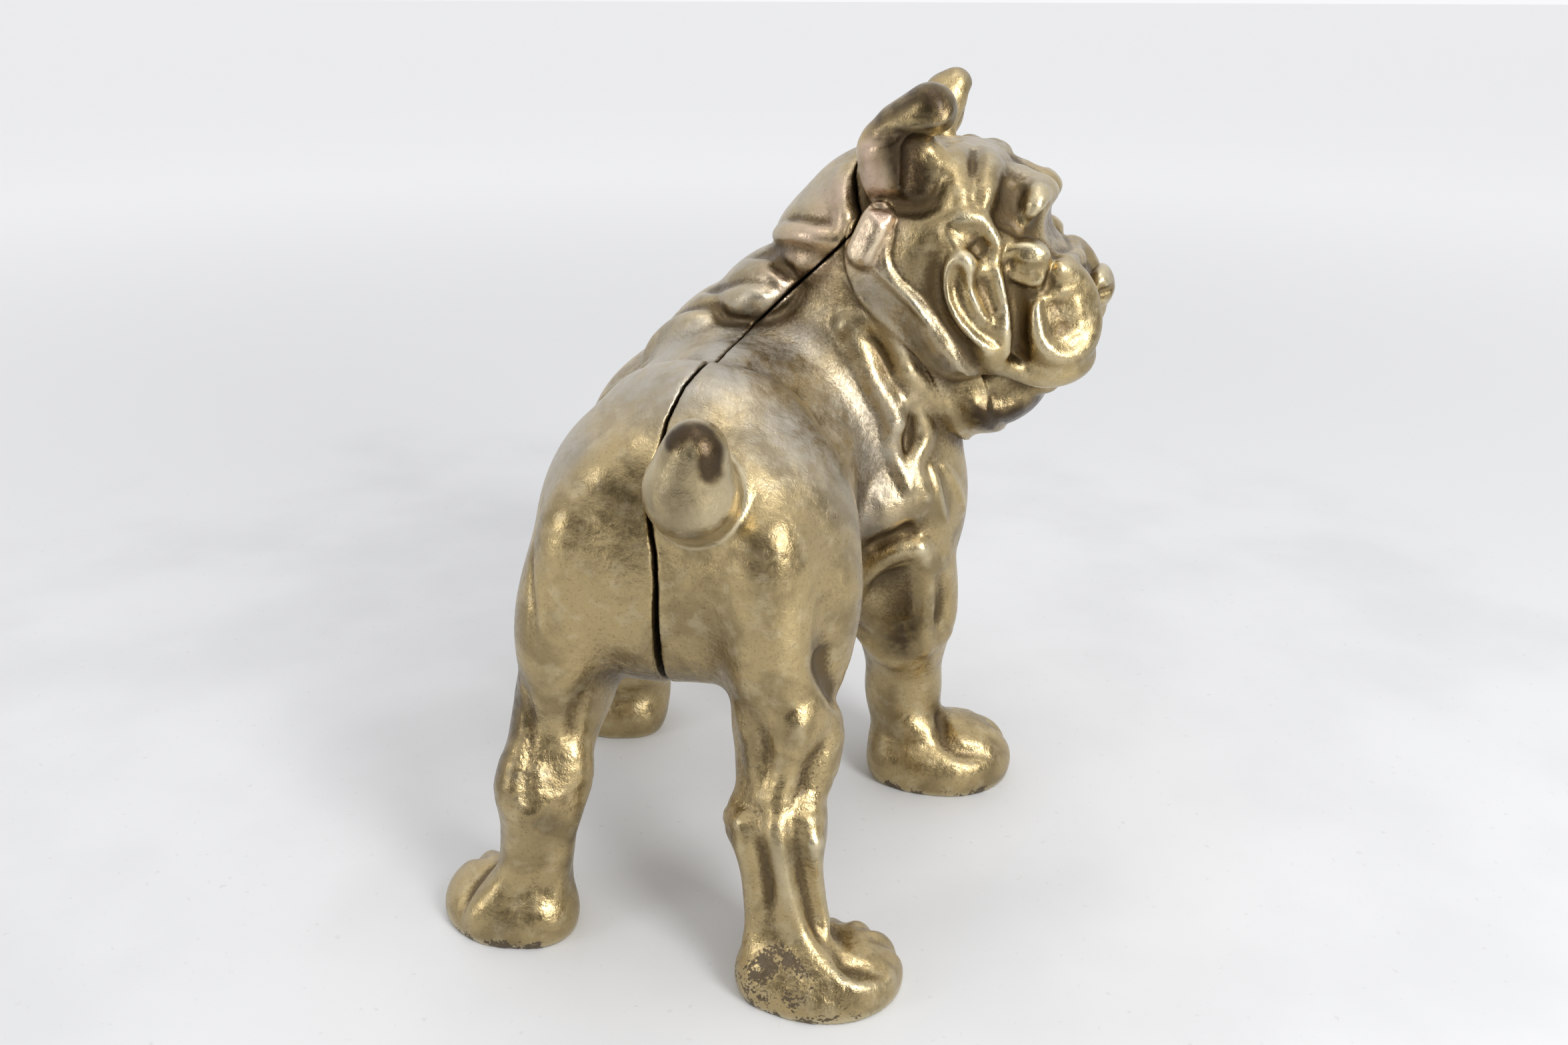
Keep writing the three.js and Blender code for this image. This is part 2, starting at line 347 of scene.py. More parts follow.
    def fold_all(self, folds, axis=None, plane=0.0, softness=1.1, rolls_first=False):
        """Each fold as (points, width, height), and again mirrored across a plane if one is given."""
        folds = list(folds.values())
        if axis is not None:
            folds += [(flip(points, axis, plane), *measures) for points, *measures in folds]
        if rolls_first:
            folds.sort(key=lambda fold: fold[2] < 0)
        for points, width, height in folds:
            self.fold(points, width, height, softness)


# ---- the dog's forms ----
# Rump, groin, ribs and chest, and then a haunch and a shoulder on each side.
TORSO = [
    Ball((BODY_X, -26, 96), (28, 24, 31)),
    Ball((0, -20, 79), (23, 18, 19.5)),
    Ball((0, -54, 97), (33, 42, 32)),
    Ball((BODY_X, -87, 84), (41, 30, 44)),
    *mirror_pair(
        [Ball((15, -23, 89), (18.5, 24, 29)), Ball((27, -82, 84), (21.5, 22, 32))],
        0,
        BODY_X,
    ),
]
NECK = [
    Limb((-2, -88, 98), 34, (-38, -89, 127), 23),
    Ball((-35, -89, 147), (28, 24.5, 26)),
]
SKULL = [Ball((-50, HEAD_Y, 147.5), (25.5, 28.5, 26))]
NAPE_ROLLS = [
    Ball((-18, -87, 149), (15, 21, 13), (0, 40, 0)),
    Ball((-3, -86, 136.5), (16, 22, 9.5), (0, 30, 0)),
    Ball((12.5, -84, 126.5), (14, 21, 8), (0, 40, 0)),
]
WITHERS = Ball((4, -82, 121), (22, 24, 11))


def hind_leg(lead, out):
    """The left leg from thigh to heel, its paw moved back by the lead and outwards by the other."""
    return [
        Ball((25, -14, 70), (11.5, 17, 25), (-8, 0, 0)),
        Limb((26.5, -8, 54), 10.5, (28.5, 1, 36), 9.3),
        Limb((28.5, 1, 36), 9.3, (31, 3 + lead / 2, 14), 8.4),
        Ball((41 + out, 3 + lead, 2), (16, 14.5, 9.5), (0, 0, -35)),
        Limb((35, 8 + lead, 4), 9.5, (30 + out / 2, 8 + lead, 4), 9.5),
    ]


def fore_leg(lead):
    """The left leg from arm to heel, its paw moved back by the lead."""
    return [
        Ball((40, -84, 56), (13, 16, 22)),
        Limb((40, -86, 45), 12, (40, -88, 24), 9.4),
        Limb((40, -88, 24), 9.4, (41, -87 + lead, 12), 9.4),
        Ball((54, -88 + lead, 4), (17.5, 15.5, 13), (0, 0, -35)),
        Limb((44, -82 + lead, 5), 10, (41, -82 + lead, 5), 9.5),
    ]


LEGS = [
    *hind_leg(-2.5, -1),
    *fore_leg(-5),
    *(form.flipped(0, 0) for form in [*hind_leg(2.5, 1), *fore_leg(0)]),
]
TAIL = [
    Limb((-8.8, -9, 107), 10.2, (-11.5, 6, 114), 9.4),
    Limb((-11.5, 6, 115), 9.4, (-13.5, 8, 123.5), 6.6),
]


def sculpt_body(clay):
    """The softness of each blend falls from the trunk to the limbs."""
    clay.add_all(TORSO, 12)
    clay.add_all(NECK, 10)
    clay.add(WITHERS, 6)
    clay.add_all(LEGS, 5)
    right_calf = Ball((-33, -5, 57), (6.5, 8, 14))
    clay.add(right_calf, 3)


def sculpt_head(clay):
    clay.add_all(SKULL, 6)
    clay.add_all(NAPE_ROLLS, 2)
    face = [
        Ball((-66, HEAD_Y, 134), (17, 19, 20)),
        Ball((-59, HEAD_Y, 114), (15, 18, 11), (0, 15, 0)),
    ]
    clay.add_all(face, 4)
    cheeks = [
        Ball((-72, HEAD_Y + 12, 133), (12, 11, 18), (0, 10, 0)),
        Ball((-54, HEAD_Y + 21, 136), (12, 10, 16), (0, 20, 0)),
    ]
    clay.add_all(mirror_pair(cheeks, 1, HEAD_Y), 3)
    brow = Ball((-66.5, HEAD_Y, 160), (7.5, 18, 6.5), (0, 35, 0))
    stop = Limb((-76.5, HEAD_Y - 19, 155.5), 6.0, (-76.5, HEAD_Y + 19, 155.5), 6.0)
    nose = Ball((-84, HEAD_Y, 139), (3.5, 6.5, 4.5))
    eye = Ball((-68, HEAD_Y + 18, 148), (5, 5, 5))
    clay.add(brow, 2)
    clay.carve(stop, 3.0)
    clay.add(nose, 2)
    clay.add_all(mirror_pair([eye], 1, HEAD_Y), 1)


def sculpt_ears(clay):
    """The right ear is cupped and its top folds forward; the left ear stands up."""
    right_base = Ball((-40, -71.5, 168.5), (9, 7.5, 9))
    right_bulb = Limb((-34.0, -69.5, 163.5), 4.9, (-33.7, -69.5, 172), 6.1)
    right_top = Limb((-35, -69.5, 173.5), 6.6, (-44.4, -69, 181.3), 5.9)
    right_tip = Limb((-37.5, -70, 177), 6.0, (-44.2, -69, 181.3), 5.9)
    clay.add(right_base, 2)
    clay.add_all([right_bulb, right_top, right_tip], 1)
    clay.carve(Limb((-42.2, -64, 165), 3.6, (-42.6, -64.5, 173), 3.8), 0.8)
    clay.carve(Limb((-41.5, -61, 167), 3.4, (-42, -61, 172), 3.4), 0.8)
    clay.hollow([(-28, -66, 175.5), (-33, -63, 176), (-38, -62, 177)], 1.3, 1.5)
    clay.fold([(-38, -62, 178), (-44, -62, 178.5), (-49, -63, 178.5), (-50, -66, 182)], 1.2, 0.8, 0.5)
    clay.hollow([(-31, -66, 161), (-36, -63, 160.5), (-42, -62, 161), (-46, -63, 162)], 2.0, 3.0)
    left_ear = Limb((-38, -111, 163), 8, (-41.5, -112, 181), 6.2)
    left_tip = Limb((-41.5, -112, 180), 5.6, (-43.5, -112, 184), 4.2)
    left_cup = Limb((-47, -113, 166), 3.5, (-48, -113, 180), 3.2)
    clay.add(left_ear, 2)
    clay.add(left_tip, 1)
    clay.carve(left_cup, 1.2)
    groove_behind_right_ear = Limb((-27, -72, 166), 2.6, (-28.5, -66, 157), 2.4)
    clay.carve(groove_behind_right_ear, 2.0)


# Folds are paths on the surface with a width and a height; a groove has a negative height.
# Those of the haunches, forelegs and chest are given for one side and repeated on the other.
HAUNCH_FOLDS = {
    "dip of the loins": ([(-24, -45, 121), (-16, -43, 125), (-9, -42, 127)], 8, -1.8),
    "flank before the haunch": (
        [(-24, -47, 120), (-32, -43, 113), (-37, -38, 104),
         (-38, -35, 93), (-37, -34, 82), (-33, -34, 72)], 7.5, -6
    ),
    "hollow beside the tail": ([(-21, -6, 110), (-23, -2, 104), (-20, 1, 98)], 5, -1),
    "hip": ([(-9, -26, 125), (-13, -30, 124), (-17, -32, 121)], 8, 1.6),
    "pin bone": ([(-16, -6, 117), (-20, -4, 113), (-23, -2, 107), (-25, 0, 101)], 6, 1.6),
    "back edge of the thigh": (
        [(-25, 0, 101), (-26.5, 1, 94), (-27.5, 1, 84), (-28, 0, 73), (-29, -1, 62)], 7, 2.1
    ),
}
RIGHT_HIND_FOLDS = {
    "hollow behind the knee": ([(-35, -5, 78), (-36, -6, 70), (-37, -9, 62)], 3.6, -3.4),
    "thigh above the knee": ([(-40, -14, 84), (-40, -16, 74), (-38, -16, 66)], 7, 1.5),
    "calf": ([(-38, -8, 59), (-38, -5, 53), (-37, -2, 47)], 4.5, 1.6),
    "groove of the calf": ([(-35, -3, 59), (-34, 3, 51), (-33, 6, 45)], 2.2, -1.3),
    "tendon": ([(-32, -1, 62), (-31, 3, 54), (-31, 7, 47)], 3.2, 1.3),
    "inner thigh": ([(-20, 0, 63), (-22, 2, 58), (-24, 4, 51)], 2.6, 0.7),
    "groove of the inner thigh": ([(-25, 3, 63), (-26, 5, 56), (-27, 7, 49)], 2.4, -0.7),
    "hollow above the hock": ([(-18, 2, 42), (-24, 8, 43), (-29, 9, 43)], 2.2, -0.9),
    "inner ankle": ([(-20, 3, 40), (-20, 4, 36)], 4, 1.8),
    "outer ankle": ([(-36, 4, 43), (-37, 6, 40), (-36, 7, 35)], 3.4, 2),
    "inner shin": ([(-22, 8, 40), (-24, 9, 31), (-25, 9, 21), (-25, 11, 12)], 2.8, 1),
    "front of the shin": (
        [(-30, 10, 42), (-32, 11, 32), (-34, 10, 20), (-39, 13, 12), (-48, 15, 7), (-55, 9, 6)],
        2.8, 1.3,
    ),
    "outer shin": ([(-37, 7, 37), (-38, 6, 26), (-41, 6, 15), (-46, 10, 11)], 2.4, 1.3),
    "groove of the shin": ([(-26, 10, 40), (-28, 11, 31), (-29, 10, 20)], 2.2, -1.6),
    "outer groove of the shin": ([(-34, 9, 42), (-35, 9, 31), (-37, 8, 21), (-41, 9, 13)], 2, -1.8),
    "crease of the paw": ([(-42, 3, 14), (-44, 9, 12), (-47, 13, 9), (-53, 10, 8)], 2, -2.6),
}
LEFT_HIND_FOLDS = {
    "crease of the thigh": (
        [(28, -8, 103), (27, -5, 97), (26, -1, 90), (25, 1, 84), (25, 3, 77), (26, 3, 69)], 1.1, -0.8
    ),
    "inner groove": ([(15, 1, 63), (17, 3, 56), (18, 3, 50)], 2.2, -1),
    "pitted groove": (
        [(29, 1, 62), (29, 3, 55), (28, 5, 50), (28, 7, 47), (28, 9, 42), (27, 11, 38), (29, 11, 33)],
        1.5, -1.3,
    ),
    "shallow window above the hock": ([(23, 5, 50), (23, 7, 45), (22, 9, 39)], 3.4, -0.6),
    "outer ankle": ([(31, 5, 46), (32, 7, 42), (31, 8, 37)], 4.2, 1.5),
    "inner ankle": ([(18, 0, 44), (18, 0, 38)], 3.6, 1.1),
    "shin": ([(27, 11, 34), (31, 11, 25), (36, 12, 15), (42, 14, 8)], 3.2, 0.9),
    "inner shin": ([(19, 3, 34), (20, 5, 24), (22, 7, 13)], 2.6, 0.6),
    "chisel mark": ([(24, 11, 34), (25, 11, 31)], 0.9, -0.9),
    "crease of the paw": ([(42, 1, 14), (45, 7, 12), (47, 14, 8)], 1.8, -1.5),
}
FORELEG_FOLDS = {
    "hollow above the elbow": ([(-35, -59, 77), (-40, -60, 81), (-46, -63, 84)], 3.4, -4),
    "face of the forearm": ([(-38, -61, 69), (-41, -63, 62), (-43, -67, 53)], 6.5, -4.4),
    "arm": ([(-36, -59, 86), (-41, -61, 90), (-47, -64, 91)], 5.5, 2),
    "edge of the elbow": (
        [(-31, -63, 60), (-34, -61, 68), (-38, -60, 75), (-43, -61, 78), (-47, -64, 77)], 2.6, 2.2
    ),
    "ridge of the forearm": (
        [(-47, -64, 77), (-49, -67, 71), (-49, -70, 63), (-48, -71, 54), (-48, -74, 44)], 2.8, 2.2
    ),
    "second muscle": ([(-50, -73, 70), (-53, -77, 64), (-54, -79, 57), (-52, -79, 48)], 4.6, 2.2),
    "groove between the muscles": ([(-50, -71, 68), (-51, -74, 60), (-50, -75, 52)], 1.6, -2.8),
    "lower edge of the elbow": ([(-28, -77, 47), (-33, -73, 44), (-39, -73, 39)], 2.4, 1.4),
    "wrist": ([(-41, -78, 18), (-46, -78, 17), (-50, -80, 16)], 3.4, 1.2),
    "crease of the paw": ([(-52, -85, 18), (-53, -79, 14), (-58, -77, 12), (-64, -80, 11)], 2, -2.4),
}
CHEST_FOLDS = {
    "hollow between the hooks": ([(-42, -65, 112), (-42, -65, 107), (-42, -64, 101)], 2.6, -2),
    "first hook": ([(-33, -63, 121), (-37, -63, 115), (-39, -64, 111), (-38, -62, 104)], 1.8, 1.2),
    "second hook": ([(-42, -66, 116), (-40, -64, 108), (-41, -63, 100), (-43, -63, 93)], 2, 1.3),
    "third hook": (
        [(-43, -67, 115), (-46, -68, 109), (-47, -69, 104),
         (-44, -65, 100), (-45, -64, 96), (-47, -64, 91)], 2, 1.4
    ),
    "first crease of the breast": ([(-48, -68, 97), (-50, -67, 91), (-52, -70, 83)], 1.2, 0.9),
    "second crease of the breast": ([(-51, -71, 97), (-54, -75, 90), (-55, -79, 83)], 1.2, 0.9),
}
CHEST_FRONT_FOLDS = {
    "breast": ([(-17, -113, 92), (-19, -116, 80), (-17, -112, 68)], 11, 0.6),
    "hollow beside the breast": ([(-33, -106, 104), (-34, -109, 86), (-31, -107, 66)], 6, -1.4),
    "shoulder": ([(-40, -100, 100), (-43, -100, 84), (-43, -98, 66)], 8, 1.6),
    "hollow of the elbow": ([(-38, -106, 52), (-42, -104, 46)], 3.6, -1.8),
}
NAPE_FOLDS = {
    "crease over the first roll": ([(-9, -75, 155), (-15, -70, 156), (-21, -68, 155)], 1.9, -1.8),
    "ridge of the first roll": ([(-7, -75, 151), (-15, -68, 153), (-23, -67, 152)], 2.6, 1.3),
    "edge of the first roll": (
        [(-22, -77, 168), (-23, -73, 162), (-25, -69, 158), (-25, -67, 155)], 2, 1
    ),
    "crease under the first roll": (
        [(1, -80, 146), (-7, -73, 148), (-14, -67, 149), (-20, -66, 148)], 2, -2
    ),
    "crease under the second roll": (
        [(13, -80, 136), (4, -72, 138), (-2, -69, 140), (-10, -67, 139)], 1.8, -1.8
    ),
    "wedge": ([(-7, -73, 144), (-13, -68, 143)], 2.2, -1.6),
    "crease under the third roll": (
        [(24, -82, 126), (13, -72, 130), (6, -71, 132), (-1, -66, 133)], 2.2, -1.3
    ),
    "shoulder blade": ([(27, -72, 121), (19, -70, 127), (12, -67, 130)], 2.4, 0.9),
}
NECK_FOLDS = {
    "hollow of the leaf": ([(-32, -65, 131), (-36, -65, 126), (-38, -65, 120)], 2.6, -1),
    "upper rim of the leaf": (
        [(-27, -65, 132), (-31, -65, 134), (-35, -65, 132), (-39, -65, 128), (-40, -65, 122)], 2.6, 0.5
    ),
    "lower rim of the leaf": (
        [(-27, -65, 132), (-30, -64, 127), (-35, -64, 120), (-38, -64, 113), (-38, -65, 109)], 2.6, 0.6
    ),
    "fold under the collar": (
        [(-42, -66, 121), (-46, -68, 117), (-50, -73, 112), (-52, -76, 107)], 2.2, 1
    ),
}


def add_collar(clay):
    """A wide leather collar, cast on, from the nape down to the throat."""
    right = [(-32, -65, 154), (-31, -66, 148), (-34, -64, 142), (-41, -62, 136)]
    right += [(-48, -61, 127), (-54, -68, 117), (-57, -80, 111)]
    throat = (-58, HEAD_Y, 110)
    clay.band([*right, throat, *flip(right, 1, HEAD_Y)[::-1]], 5.2, 1.3, 0.9)
    upper = [(-34, -64, 147), (-40, -62, 142), (-49, -59, 134), (-56, -62, 124), (-60, -72, 115)]
    lower = [(-27, -66, 143), (-32, -65, 138), (-38, -64, 131)]
    lower += [(-43, -65, 122), (-49, -71, 112), (-52, -80, 106)]
    for edge in (upper, lower):
        clay.fold(edge, 1.1, 0.5)
        clay.fold(flip(edge, 1, HEAD_Y), 1.1, 0.5)
    keeper = [(-35, -65, 160), (-33, -65, 155), (-31, -65, 150)]
    clay.band(keeper, 3.2, 2.4, 1)


# Centre and facing of each paw, seen from above, in millimetres and degrees.
PAWS = (((-42, 5.5), 240), ((40, 0.5), 300), ((-54, -88), 235), ((54, -93), 305))
TOE_GROOVES = (-30, 0, 30)  # the grooves between the toes, turned from the paw's facing
TOE_GROOVE = ((9, 12), (14, 9), (17, 2))  # its course: how far ahead of the paw's centre, and how high


def part_toes(clay, centre, facing):
    middle = np.array([*centre, 0])
    for turn in TOE_GROOVES:
        angle = math.radians(facing + turn)
        ahead = np.array([math.cos(angle), math.sin(angle), 0])
        course = [middle + ahead * reach + (0, 0, height) for reach, height in TOE_GROOVE]
        clay.hollow(course, 1.6, 1.6)


def draw_body(clay):
    clay.fold_all(HAUNCH_FOLDS, 0, BODY_X)
    clay.fold_all(RIGHT_HIND_FOLDS)
    clay.fold_all(LEFT_HIND_FOLDS)
    clay.fold_all(FORELEG_FOLDS, 0, 0)
    clay.fold_all(CHEST_FOLDS, 0, BODY_X)
    clay.fold_all(NAPE_FOLDS)
    clay.fold_all(CHEST_FRONT_FOLDS, 0, 0)
    add_collar(clay)
    clay.fold_all(NECK_FOLDS)
    for centre, facing in PAWS:
        part_toes(clay, centre, facing)


# The face's folds are given for its right side and repeated on its left.
BROW_FOLDS = {
    "hollow behind the first fold": ([(-46, -71, 175), (-46, -66, 170), (-47, -64, 164)], 2.6, -3.4),
    "hollow in the brow": (
        [(-54, -78, 174), (-55, -73, 170), (-55, -69, 166), (-56, -66, 162)], 1.8, -3.4
    ),
    "eye socket": ([(-63, -78, 167), (-63, -74, 164), (-63, -71, 160), (-62, -68, 156)], 3.8, -6.5),
    "first fold": ([(-50, -79, 176), (-52, -71, 171), (-52, -67, 166), (-53, -65, 161)], 3.2, 2.2),
    "second fold": ([(-56, -80, 173), (-58, -73, 170), (-58, -69, 166), (-59, -66, 162)], 3.2, 2.3),
    "inner brow": ([(-68, -79, 164), (-69, -75, 162), (-68, -72, 159)], 2.6, 1.6),
    "slit before the brow": ([(-73, -77, 158), (-72, -75, 156), (-69, -72, 154)], 2, -3.4),
}
CHEEK_FOLDS = {
    "pit": ([(-57, -63, 154), (-59, -64, 151)], 2.6, -4.6),
    "upper rim": (
        [(-50, -62, 158), (-54, -63, 159), (-58, -63, 159), (-62, -65, 157), (-63, -65, 153)], 2, 1.2
    ),
    "lower rim": ([(-50, -61, 156), (-53, -61, 152), (-56, -61, 149), (-60, -62, 148)], 1.8, 0.9),
}
JOWL_FOLDS = {
    "shade behind the loop": (
        [(-47, -60, 150), (-47, -60, 143), (-50, -59, 136), (-55, -59, 130), (-60, -62, 124)], 3, -3
    ),
    "hollow of the jowl": ([(-58, -62, 146), (-60, -62, 141), (-62, -63, 137)], 2.4, -5),
    "inner groove of the jowl": (
        [(-53, -60, 147), (-54, -60, 141), (-57, -61, 136), (-61, -62, 131)], 1.8, -3.5
    ),
    "groove before the flew": (
        [(-65, -66, 146), (-66, -68, 140), (-67, -69, 134), (-68, -70, 129), (-68, -70, 125)], 2.3, -3.6
    ),
    "rear loop": (
        [(-56, -62, 148), (-54, -60, 151), (-51, -60, 149), (-50, -59, 144),
         (-52, -59, 139), (-55, -59, 135), (-60, -60, 131), (-65, -64, 128)], 2.3, 1.7
    ),
    "inner loop": ([(-55, -61, 150), (-56, -61, 146), (-58, -61, 141), (-60, -62, 137)], 2.2, 0.8),
    "front of the jowl": (
        [(-63, -64, 147), (-64, -64, 141), (-65, -63, 135), (-65, -65, 129)], 2.2, 1.5
    ),
}
FLEW_FOLDS = {
    "hollow under the brow": ([(-64, -70, 156), (-69, -72, 155), (-74, -75, 152)], 2.2, -2.6),
    "tear groove": ([(-73, -72, 149), (-72, -71, 145), (-70, -69, 140)], 1.8, -2.4),
    "hollow": ([(-75, -70, 141), (-77, -68, 136), (-79, -69, 132)], 4.2, -3.2),
    "rim": (
        [(-70, -66, 138), (-72, -68, 146), (-78, -72, 149), (-84, -77, 146), (-86, -79, 138),
         (-84, -75, 130), (-78, -68, 126), (-72, -65, 130), (-70, -66, 138)], 2.8, 2
    ),
    "lip": (
        [(-60, -62, 128), (-65, -66, 122), (-71, -68, 119), (-76, -68, 120),
         (-81, -71, 122), (-85, -78, 124), (-87, -86, 126)], 2.6, 1.8
    ),
    "mouth": (
        [(-54, -63, 119), (-60, -67, 116), (-66, -70, 114), (-73, -72, 114),
         (-79, -77, 115), (-83, -84, 118), (-85, -90, 121)], 2.8, -5
    ),
}
# Those of the muzzle cross its middle.
MUZZLE_FOLDS = {
    "furrow of the brow": ([(-75, -90, 162), (-69, -90, 168), (-60, -90, 174)], 2.6, -2.6),
    "furrow across the forehead": ([(-62, -82, 172), (-65, -90, 171), (-62, -98, 172)], 1.8, -1.4),
    "wrinkle across the stop": ([(-76, -100, 151), (-79, -90, 151), (-76, -80, 151)], 1.6, -1.6),
    "wrinkle of the bridge": ([(-79, -99, 147), (-82, -90, 147), (-79, -81, 147)], 1.5, -1.3),
    "fold of the bridge": ([(-77, -102, 149), (-81, -90, 149), (-77, -78, 149)], 2.2, 1),
    "split of the lip": ([(-88, -90, 136), (-86, -90, 129), (-85, -90, 122)], 1.4, -2.4),
    "chin": ([(-82, -98, 113), (-84, -90, 112), (-82, -82, 113)], 3.2, 1),
}
EYE_SPREAD = 22  # from the middle of the face to each eye


def sculpt_muzzle(clay):
    """The nose pad with its nostrils, the split lip and the wrinkles of the brow and bridge."""
    nose_pad = Ball((-84, HEAD_Y, 140.5), (3, 7.5, 4.6))
    clay.add(nose_pad, 1.2)
    clay.fold_all(MUZZLE_FOLDS)
    for side in (-1, 1):
        nostril = Limb((-88.5, HEAD_Y + 3.2 * side, 140), 1.6, (-85, HEAD_Y + 5.5 * side, 139), 1.2)
        clay.carve(nostril, 0.6)
        clay.hollow([(-86, HEAD_Y + 9 * side, 144), (-87, HEAD_Y + 8 * side, 139)], 1.3, 1.5)


def sculpt_eye(clay, y, side):
    """A round eye half covered by a heavy lid."""
    clay.carve(Ball((-68.5, y + 2 * side, 150), (6, 4, 6)), 1.5)
    clay.add(Ball((-68, y - 3.4 * side, 148.8), (5.2, 5, 4.8)), 1.5)
    brow = [(-62.5, y, 149), (-64.5, y + side, 152.5), (-68.5, y + side, 153.5), (-73, y - side, 151)]
    clay.roll(brow, 1.4, 0.9, 0.8)
    clay.hollow([(-64.5, y + side, 148.6), (-68, y + side, 148), (-71.5, y, 147.8)], 0.9, 0.9)
    below = [(-63, y, 147), (-65.5, y, 144.2), (-69, y, 143.4), (-72.5, y - side, 145)]
    clay.roll(below, 1.4, 0.8, 0.8)


def draw_face(clay):
    clay.fold_all(BROW_FOLDS, 1, HEAD_Y, 0.9)
    clay.fold_all(CHEEK_FOLDS, 1, HEAD_Y, 0.6)
    clay.fold_all(JOWL_FOLDS, 1, HEAD_Y, 0.9, rolls_first=True)
    clay.fold_all(FLEW_FOLDS, 1, HEAD_Y, 0.9, rolls_first=True)
    sculpt_muzzle(clay)
    for side in (1, -1):
        sculpt_eye(clay, HEAD_Y + EYE_SPREAD * side, side)


# ---- the castings ----
# The x of the parting surface at each height: it swings with the turned neck.
PARTING = {
    58: 1.2, 75: -0.6, 90: -1.3, 97: -0.8, 101: 0, 122: 0, 128: -2, 131: -4,
    139: -12, 144: -17.5, 150: -24, 154: -28, 157: -29, 160: -27.5, 165: -26,
}
# Half the daylight between the castings at each y along the back, and what the rump adds to it.
# That grows from nothing over the 25 mm below the rump's top and the 10 mm behind its front.
HALF_GAP = {-80: 0.1, -74: 0.35, -70: 0.3, -64: 0.08, -40: 0.08, -30: 0.22, -12: 0.3, -4: 0.42}
RUMP_HALF_GAP = 0.28
RUMP_TOP = 95
RUMP_FRONT = -20
PARTED_EDGE = 0.6  # how much the castings' edges are rounded where they part
TAIL_FILLET = 3.0
CAVITY_SOFTNESS = 6
BOSS_OVERRUN = 22.0  # the bosses run this far past the screws, into both skins
BORE_OVERRUN = 1.0
COUNTERBORE_RUN = 40.0  # from the screws' seats out through the skin


def parting_distance(clay):
    """How far each cell is to the dog's left of the parting surface."""
    x, y, z = clay.coordinates()
    surface = np.interp(z, list(PARTING), list(PARTING.values()))
    lean = np.gradient(surface.ravel(), clay.step).reshape(z.shape)
    return ((x - surface) / np.sqrt(1 + lean**2) + 0 * y).astype(np.float32)


def seam_half_gap(clay):
    """Half the daylight between the castings: open at the rump, almost shut at the withers."""
    x, y, z = clay.coordinates()
    along = np.interp(y, list(HALF_GAP), list(HALF_GAP.values()))
    rump = np.clip((RUMP_TOP - z) / 25, 0, 1) * np.clip((y - RUMP_FRONT) / 10, 0, 1)
    return (along + RUMP_HALF_GAP * rump + 0 * x).astype(np.float32)


def rods(clay, radius, x_low, x_high):
    """Distances to two cylinders, one on the axis of each screw."""
    x, y, z = clay.coordinates()
    ends = np.abs(x - (x_low + x_high) / 2) - (x_high - x_low) / 2
    front, rear = (np.sqrt((y - y0) ** 2 + (z - z0) ** 2) - radius for y0, z0 in SCREWS.values())
    return np.maximum(np.minimum(front, rear), ends)


def quads_of(clay):
    """The surface of the clay as points, in millimetres, and four-cornered faces."""
    grid = openvdb.FloatGrid(FAR)
    grid.copyFromArray(clay.value)
    points, quads = grid.convertToQuads(isovalue=0.0)
    return points * clay.step + clay.low, quads[:, ::-1]


def add_object(name, data):
    added = bpy.data.objects.new(name, data)
    bpy.context.scene.collection.objects.link(added)
    return added


def mesh_object(name, points, faces, material):
    """An object of the scene from points in the dog's own frame."""
    mesh = bpy.data.meshes.new(name)
    mesh.vertices.add(len(points))
    mesh.vertices.foreach_set("co", ((points + SHIFT) / 1000).astype(np.float32).ravel())
    mesh.loops.add(faces.size)
    mesh.loops.foreach_set("vertex_index", faces.astype(np.int32).ravel())
    mesh.polygons.add(len(faces))
    mesh.polygons.foreach_set("loop_start", np.arange(0, faces.size, faces.shape[1], dtype=np.int32))
    mesh.update(calc_edges=True)
    mesh.shade_smooth()
    mesh.materials.append(material)
    return add_object(name, mesh)


# What the finish, and the painted shade and sheen, look like where: paths on the dog with a width and a
# strength.
# The gold has worn to grey metal along the back and flanks, and on the skull and collar (on these tops
# the grey is also a painted reflection of the pale ceiling),
GREY_WEAR_AND_PAINTED_SHEEN = [
    ([(-1, -23, 127), (-1, -45, 129), (-4, -65, 131)], 11, 1),
    ([(-9, -26, 128), (-13, -42, 126), (-13, -60, 128)], 10, 0.9),
    ([(7, -24, 127), (14, -30, 124), (20, -40, 120), (14, -60, 126)], 12, 0.9),
    ([(24, -14, 115), (30, -20, 105), (33, -30, 100)], 10, 0.9),
    ([(-26, -22, 118), (-32, -28, 108), (-37, -40, 100)], 12, 0.9),
    ([(-28, -52, 118), (-34, -58, 108), (-32, -50, 90)], 12, 0.7),
    ([(-45, -85, 174), (-55, -85, 172), (-62, -85, 168)], 9, 0.7),
    ([(-18, -78, 162), (-4, -80, 150), (12, -80, 136)], 8, 0.6),
    ([(-34, -64, 142), (-42, -62, 134), (-50, -63, 124)], 6, 0.8),
]
# to a coppery pink behind the ear and down the nape,
COPPER = [
    ([(-30, -63, 173), (-31, -63, 167), (-33, -64, 163)], 4.5, 1),
    ([(-35, -64, 159), (-33, -64, 155), (-31, -64, 151)], 4.5, 1),
    ([(-22, -70, 163), (-20, -67, 154), (-12, -67, 150)], 6, 0.7),
    ([(-8, -70, 141), (-16, -66, 142), (-22, -65, 147)], 4, 0.6),
]
# and has chipped to dark metal on the right hind paw and along the soles.
STAIN = [
    ([(-28, 17, 9), (-33, 15, 11), (-40, 15, 8), (-35, 19, 4)], 3.6, 0.8),
    ([(-24, 15, 5), (-30, 18, 3)], 4, 0.6),
    ([(-54, 6, 2), (-50, 16, 2), (-38, 20, 1), (-26, 19, 1)], 2.2, 0.6),
    ([(52, 3, 1), (46, 12, 1), (36, 16, 1), (26, 14, 1)], 2.2, 0.6),
    ([(-64, -78, 1), (-54, -74, 1), (-40, -74, 1)], 2.5, 0.7),
]
